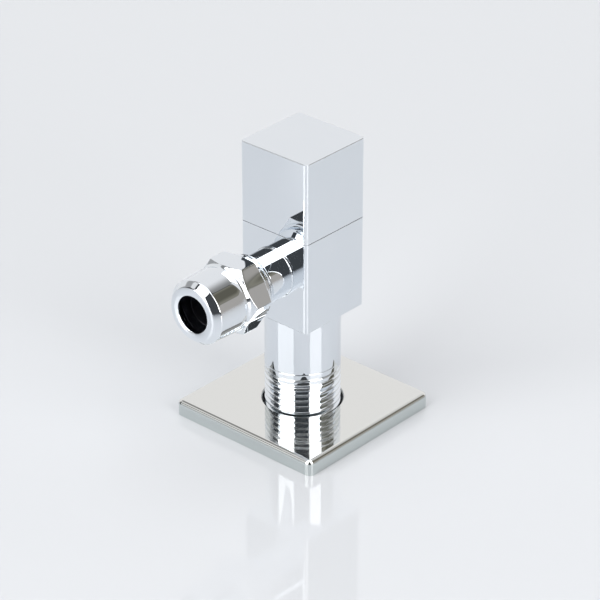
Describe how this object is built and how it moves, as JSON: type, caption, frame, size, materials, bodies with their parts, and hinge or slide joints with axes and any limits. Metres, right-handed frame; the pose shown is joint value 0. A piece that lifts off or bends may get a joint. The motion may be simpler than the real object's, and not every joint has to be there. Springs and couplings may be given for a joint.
{
  "type": "angle stop valve",
  "caption": "Square chrome quarter-turn angle stop valve with a threaded wall tail, a loose square wall plate and a compression outlet for a small supply pipe",
  "frame": {"origin": "on the tail's axis, in the plane of the tail's end and of the wall plate's rim", "axes": "+Z from the wall through the tail and the body to the handle; -Y the way the outlet leaves; +X to the side"},
  "size_m": [0.0494, 0.0676, 0.083],
  "materials": {
    "chrome": "polished chrome plate on brass",
    "plate_steel": "polished stainless sheet",
    "brass": "machined, bare",
    "rubber": "smooth",
    "ceramic": "lapped alumina ceramic",
    "plastic": "moulded acetal",
    "steel": "plain"
  },
  "bodies": {
    "valve": {"valve_body": "chrome", "outlet_nipple": "chrome", "nipple_seal": "rubber", "cartridge_bonnet": "brass", "bonnet_seal": "rubber", "seat_seal": "rubber", "fixed_disc": "ceramic"},
    "handle_unit": {"handle": "chrome", "spline_insert": "plastic", "handle_screw": "steel", "stem": "brass", "lower_stem_seal": "rubber", "upper_stem_seal": "rubber", "thrust_washer": "plastic", "stop_washer": "brass", "retaining_clip": "steel", "moving_disc": "ceramic"},
    "wall_plate": {"escutcheon": "plate_steel"},
    "olive_ring": {"olive": "brass"},
    "nut": {"compression_nut": "chrome"}
  },
  "joints": [
    {"name": "handle_turn", "type": "hinge", "parent": "valve", "child": "handle_unit", "pos_m": [0, 0, 0.0715], "axis": [0, 0, 1], "range_deg": [0, 90]},
    {"name": "plate_slide", "type": "slide", "parent": "valve", "child": "wall_plate", "axis": [0, 0, 1], "range_m": [0, 0.0282]},
    {"name": "olive_travel", "type": "slide", "parent": "valve", "child": "olive_ring", "axis": [0, -1, 0], "range_m": [0, 0.00938]},
    {"name": "nut_turn", "type": "hinge", "parent": "olive_ring", "child": "nut", "pos_m": [0, -0.0327, 0.04795], "axis": [0, -1, 0], "range_deg": [0, 2520]}
  ],
  "couplings": [
    {"joint": "olive_travel", "follows": "nut_turn", "m_per_rad": 0.00021279}
  ]
}
